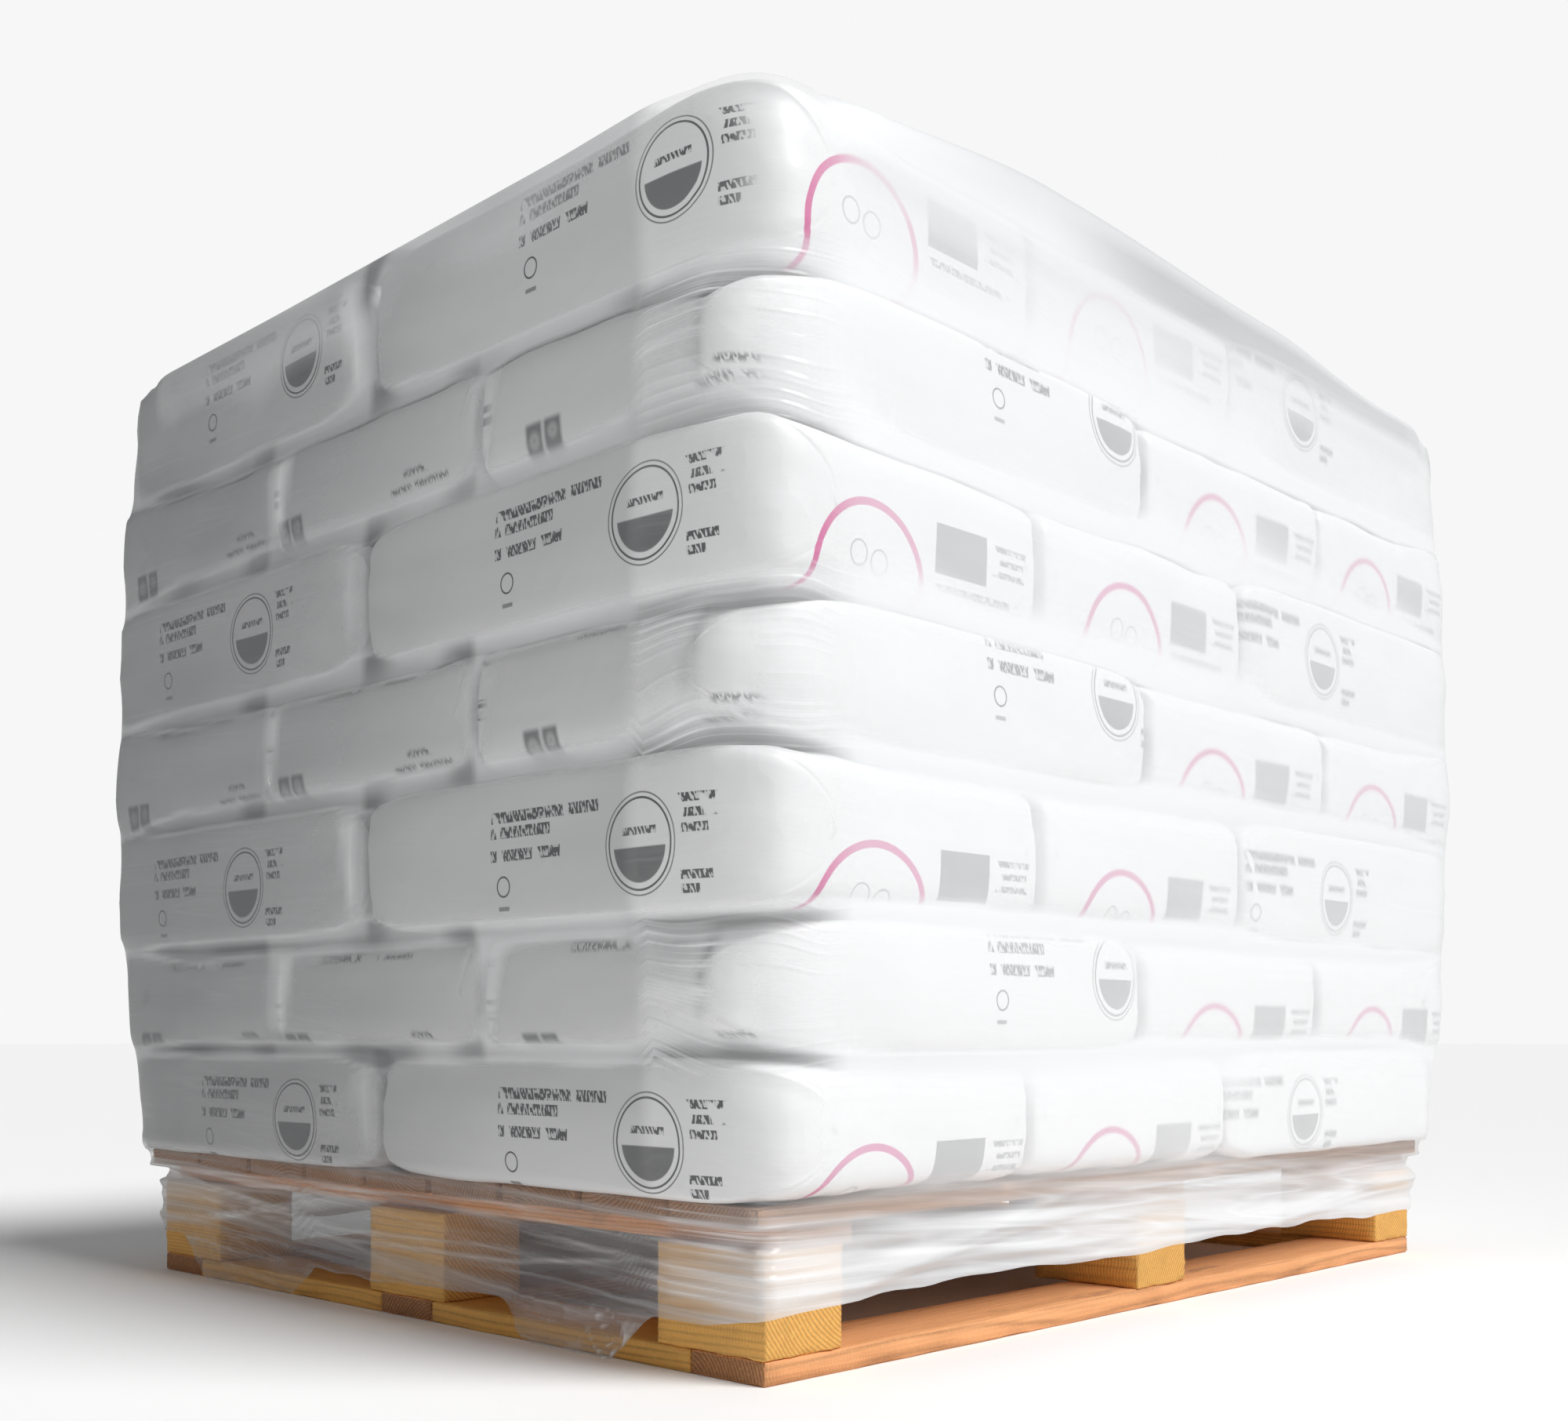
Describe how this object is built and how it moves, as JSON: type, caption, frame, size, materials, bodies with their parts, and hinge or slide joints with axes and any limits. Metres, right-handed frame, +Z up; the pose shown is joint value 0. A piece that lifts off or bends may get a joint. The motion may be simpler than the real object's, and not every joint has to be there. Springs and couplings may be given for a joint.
{
  "type": "pallet of sacks",
  "caption": "Stretch-wrapped block of filled plastic sacks in bonded layers on a wooden block pallet with a closed bottom frame.",
  "frame": {"origin": "on the floor, under the middle of the pallet", "axes": "+X along the pallet's long side, +Y along its short side, +Z up; -Y is the long face that the picture shows on the right"},
  "size_m": [1.3952, 1.1966, 1.1215],
  "materials": {
    "red_pine": "sawn reddish softwood",
    "pale_pine": "rough sawn yellow softwood",
    "deck_pine": "sawn softwood, a little weathered",
    "sack_plastic": "white polythene sack, satin",
    "film": "clear, milky stretch film in several turns"
  },
  "bodies": {
    "root": {"bottom_board_front": "red_pine", "bottom_board_middle": "red_pine", "bottom_board_back": "red_pine", "bottom_cross_left_front": "pale_pine", "bottom_cross_left_back": "pale_pine", "bottom_cross_right_front": "pale_pine", "bottom_cross_right_back": "pale_pine", "block_front_left": "pale_pine", "block_front_centre": "pale_pine", "block_front_right": "pale_pine", "block_middle_left": "pale_pine", "block_middle_centre": "pale_pine", "block_middle_right": "pale_pine", "block_back_left": "pale_pine", "block_back_centre": "pale_pine", "block_back_right": "pale_pine", "stringer_left": "red_pine", "stringer_centre": "red_pine", "stringer_right": "red_pine", "deck_board_1": "deck_pine", "deck_board_2": "deck_pine", "deck_board_3": "deck_pine", "deck_board_4": "deck_pine", "deck_board_5": "deck_pine", "deck_board_6": "deck_pine", "deck_board_7": "deck_pine", "deck_board_8": "deck_pine", "deck_board_9": "deck_pine", "sack_layer_1": "sack_plastic", "sack_layer_2": "sack_plastic", "sack_layer_3": "sack_plastic", "sack_layer_4": "sack_plastic", "sack_layer_5": "sack_plastic", "sack_layer_6": "sack_plastic", "sack_layer_7": "sack_plastic", "stretch_wrap": "film"}
  },
  "joints": []
}
